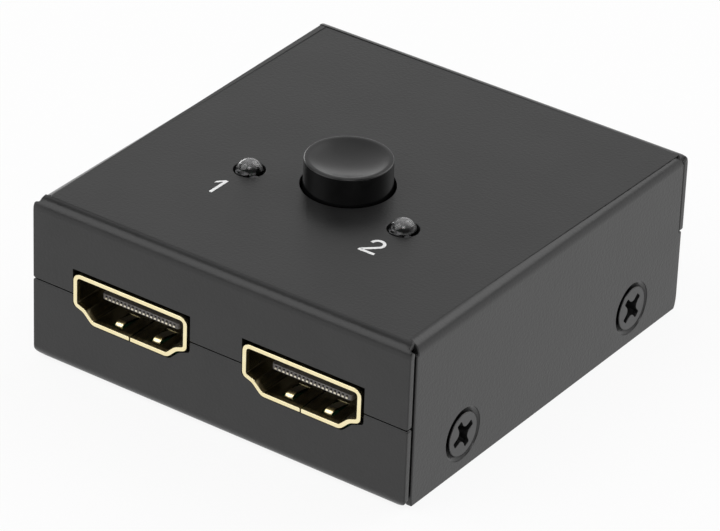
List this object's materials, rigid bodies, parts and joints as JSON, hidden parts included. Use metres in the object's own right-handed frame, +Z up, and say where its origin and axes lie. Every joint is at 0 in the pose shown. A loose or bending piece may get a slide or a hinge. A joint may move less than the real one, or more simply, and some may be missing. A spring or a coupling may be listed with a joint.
{
  "type": "hdmi switch box",
  "caption": "Small folded sheet-metal box with a dished push button and clear lamps on top, input ports in the front panel and a common port in the back panel.",
  "frame": {"origin": "on the underside, below the middle of the case", "axes": "+Z up, +X to the right along the front panel, +Y from the front panel to the back panel"},
  "size_m": [0.0486, 0.0524, 0.0227],
  "materials": {
    "case_black": "fine-textured satin powder coat",
    "screw_black": "black oxide",
    "shell_gold": "bright gold plate",
    "insulator_dark": "moulded",
    "contact_gold": "gold plate",
    "board_green": "solder mask",
    "standoff_brass": "turned",
    "plain_steel": "tinned or plated",
    "button_black": "moulded, glossy",
    "plunger_white": "moulded",
    "switch_dark": "moulded",
    "lens_clear": "clear epoxy",
    "chip_dark": "moulded",
    "ceramic_tan": "ceramic"
  },
  "bodies": {
    "housing": {"top_cover": "case_black", "bottom_tray": "case_black", "cover_screws": "screw_black", "port_1_shell": "shell_gold", "port_1_insulator": "insulator_dark", "port_1_upper_contacts": "contact_gold", "port_1_lower_contacts": "contact_gold", "port_2_shell": "shell_gold", "port_2_insulator": "insulator_dark", "port_2_upper_contacts": "contact_gold", "port_2_lower_contacts": "contact_gold", "common_shell": "shell_gold", "common_insulator": "insulator_dark", "common_upper_contacts": "contact_gold", "common_lower_contacts": "contact_gold", "circuit_board": "board_green", "board_standoffs": "standoff_brass", "board_screws": "plain_steel", "switch_return_spring": "plain_steel", "switch_housing": "switch_dark", "switch_base": "switch_dark", "switch_terminals": "plain_steel", "switch_latch_wire": "plain_steel", "lamp_1_lens": "lens_clear", "lamp_1_leads": "plain_steel", "lamp_2_lens": "lens_clear", "lamp_2_leads": "plain_steel", "selector_chip": "chip_dark", "selector_pads": "plain_steel", "regulator": "chip_dark", "regulator_leads": "plain_steel", "chip_resistors": "chip_dark", "chip_capacitors": "ceramic_tan"},
    "button": {"button_cap": "button_black", "switch_plunger": "plunger_white", "switch_bridges": "contact_gold"}
  },
  "joints": [
    {"name": "button_press", "type": "slide", "parent": "housing", "child": "button", "axis": [0, 0, 1], "range_m": [-0.002, 0], "stiffness_N_per_m": 600, "springref_m": 0.002, "deforming": ["switch_return_spring"]}
  ]
}
